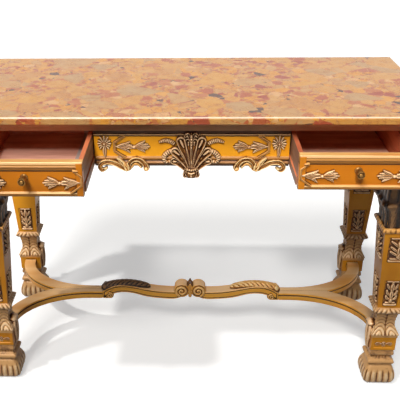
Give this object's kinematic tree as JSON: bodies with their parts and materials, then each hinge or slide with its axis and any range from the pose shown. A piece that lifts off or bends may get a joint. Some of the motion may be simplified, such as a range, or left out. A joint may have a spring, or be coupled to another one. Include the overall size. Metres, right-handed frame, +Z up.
{
  "type": "pier table",
  "caption": "Carved and gilded side table with a polished breccia marble top, sliding frieze drawers, square tapering legs and a curved stretcher",
  "frame": {"origin": "floor level under the middle of the whole part's box, drawers open as stored", "axes": "+X to the right along the table's length, +Y to the back, +Z up"},
  "size_m": [1.262, 0.7432, 0.85],
  "materials": {
    "marble": "polished breccia",
    "gilt_panel": "satin honey-gold",
    "gilt_carving": "aged gilding",
    "gilt_stretcher": "worn gilding",
    "case_wood": "stained, satin",
    "drawer_wood": "stained, satin",
    "brass": "aged",
    "steel": "plain"
  },
  "bodies": {
    "table": {"back_apron": "gilt_panel", "frieze_brackets": "gilt_carving", "frieze_horns": "gilt_carving", "frieze_palmettes": "gilt_carving", "frieze_panel": "gilt_panel", "frieze_sprays": "gilt_carving", "frieze_straps": "gilt_carving", "front_top_rail": "case_wood", "glue_blocks": "case_wood", "left_apron": "gilt_panel", "left_divider": "case_wood", "left_drawer_stops": "case_wood", "left_kickers": "case_wood", "left_runners": "case_wood", "leg_base_back_left": "gilt_carving", "leg_base_back_right": "gilt_carving", "leg_base_front_left": "gilt_carving", "leg_base_front_right": "gilt_carving", "leg_capital_back_left": "gilt_carving", "leg_capital_back_right": "gilt_carving", "leg_capital_front_left": "gilt_carving", "leg_capital_front_right": "gilt_carving", "leg_shaft_back_left": "gilt_panel", "leg_shaft_back_right": "gilt_panel", "leg_shaft_front_left": "gilt_panel", "leg_shaft_front_right": "gilt_panel", "marble_top": "marble", "right_apron": "gilt_panel", "right_divider": "case_wood", "right_drawer_stops": "case_wood", "right_kickers": "case_wood", "right_runners": "case_wood", "shell_carving": "gilt_carving", "stretcher_arm_back_left": "gilt_stretcher", "stretcher_arm_back_right": "gilt_stretcher", "stretcher_arm_front_left": "gilt_stretcher", "stretcher_arm_front_right": "gilt_stretcher", "stretcher_beam_left": "gilt_stretcher", "stretcher_beam_right": "gilt_stretcher", "stretcher_collar": "gilt_carving", "stretcher_dowels": "case_wood", "stretcher_leaf_left": "gilt_carving", "stretcher_leaf_right": "gilt_carving"},
    "left_drawer": {"left_drawer_back": "drawer_wood", "left_drawer_bottom": "drawer_wood", "left_drawer_carving": "gilt_carving", "left_drawer_front": "gilt_panel", "left_drawer_inner_side": "drawer_wood", "left_drawer_knob": "brass", "left_drawer_knob_screw": "steel", "left_drawer_outer_side": "drawer_wood"},
    "right_drawer": {"right_drawer_back": "drawer_wood", "right_drawer_bottom": "drawer_wood", "right_drawer_carving": "gilt_carving", "right_drawer_front": "gilt_panel", "right_drawer_inner_side": "drawer_wood", "right_drawer_knob": "brass", "right_drawer_knob_screw": "steel", "right_drawer_outer_side": "drawer_wood"}
  },
  "joints": [
    {"name": "left_drawer_slide", "type": "slide", "parent": "table", "child": "left_drawer", "axis": [0, -1, 0], "range_m": [-0.192, 0.0998]},
    {"name": "right_drawer_slide", "type": "slide", "parent": "table", "child": "right_drawer", "axis": [0, -1, 0], "range_m": [-0.1463, 0.1455]}
  ]
}
